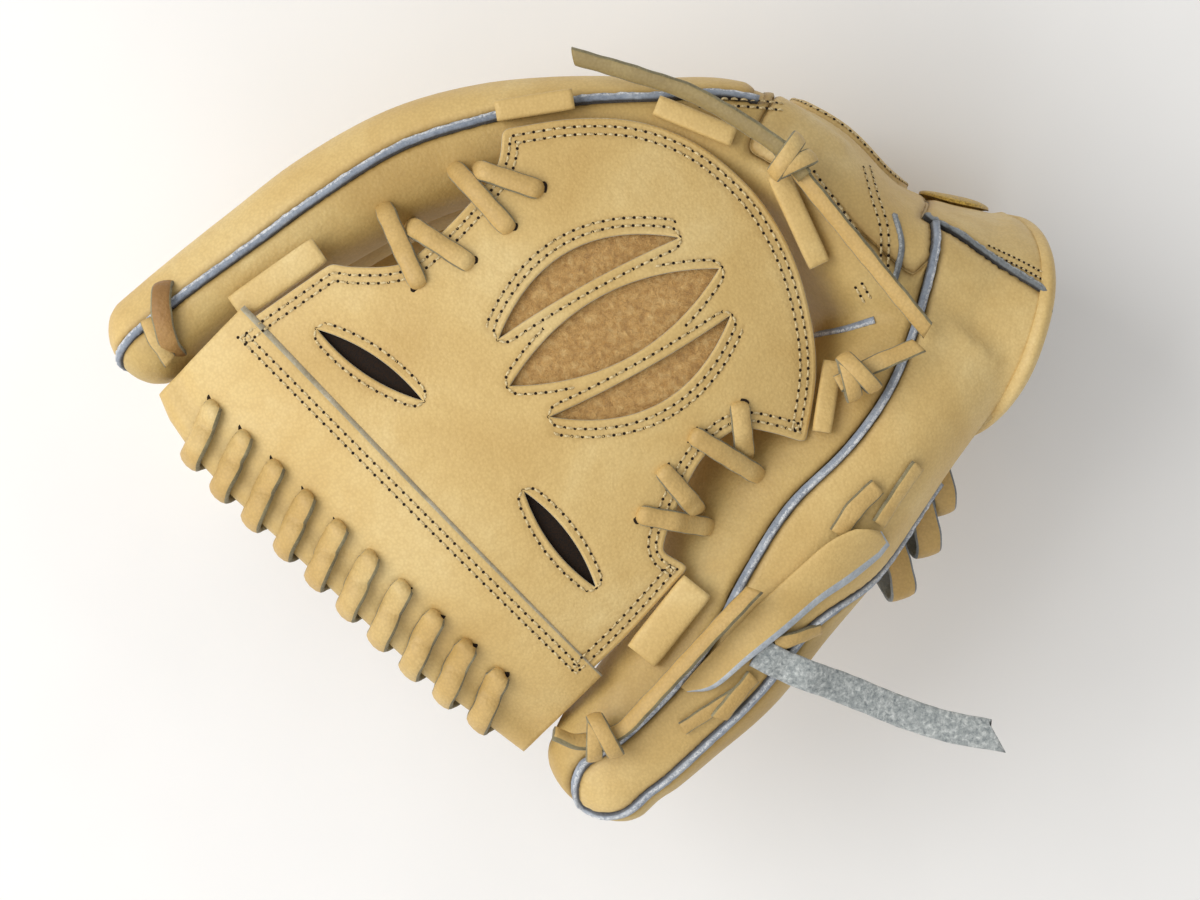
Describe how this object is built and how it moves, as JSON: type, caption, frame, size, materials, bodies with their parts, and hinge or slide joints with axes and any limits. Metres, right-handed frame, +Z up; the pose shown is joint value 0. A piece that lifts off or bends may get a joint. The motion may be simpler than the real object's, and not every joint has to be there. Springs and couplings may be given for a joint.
{
  "type": "baseball pitcher's glove",
  "caption": "Stiff leather baseball pitcher's glove with a closed two-piece web, welted finger stalls, a wrist strap and raw-hide laces.",
  "frame": {"origin": "on the floor, under the middle of the bounding box", "axes": "+Z up, out of the web; +X towards the wrist; +Y towards the back of the hand"},
  "size_m": [0.2902, 0.2352, 0.1543],
  "materials": {
    "leather": "undyed tan, semi-matte",
    "lace": "raw-hide lace, semi-matte",
    "suede": "suede, matte",
    "raw_edge": "raw cut edge and flesh side, matte",
    "embroidery": "satin stitched thread"
  },
  "bodies": {
    "root": {"wrist_strap": "leather", "thumb_back": "leather", "hand_back": "leather", "index_back": "leather", "middle_back": "leather", "ring_back": "leather", "little_back": "leather", "index_front": "leather", "middle_front": "leather", "ring_front": "leather", "little_front": "leather", "thumb_front": "leather", "palm": "leather", "index_welt": "raw_edge", "middle_welt": "raw_edge", "ring_welt": "raw_edge", "little_welt": "raw_edge", "thumb_welt": "raw_edge", "wrist_binding": "leather", "opening_binding": "leather", "strap_patch": "embroidery", "web_panel": "leather", "web_backing": "suede", "web_rim": "leather", "rim_lace": "lace", "web_tab_1": "leather", "web_tab_2": "leather", "web_tab_3": "leather", "web_tab_4": "leather", "web_tab_5": "leather", "web_tab_6": "leather", "index_lace_1": "lace", "index_lace_2": "lace", "index_lace_3": "lace", "index_lace_4": "lace", "thumb_lace_1": "lace", "thumb_lace_2": "lace", "thumb_lace_3": "lace", "thumb_lace_4": "lace", "thumb_cover": "leather", "heel_loop_1": "lace", "heel_loop_2": "lace", "heel_loop_3": "lace", "tip_lace_1": "lace", "tip_lace_2": "lace", "tip_lace_3": "lace", "tip_lace_index": "suede", "knot_crotch": "lace", "knot_heel": "lace", "knot_thumb": "lace", "tail_crotch_long": "lace", "tail_crotch_short": "lace", "tail_heel": "lace", "tail_thumb": "lace", "thumb_tail_1": "lace", "thumb_tail_2": "lace", "thumb_tie": "lace", "tongue": "raw_edge"}
  },
  "joints": []
}
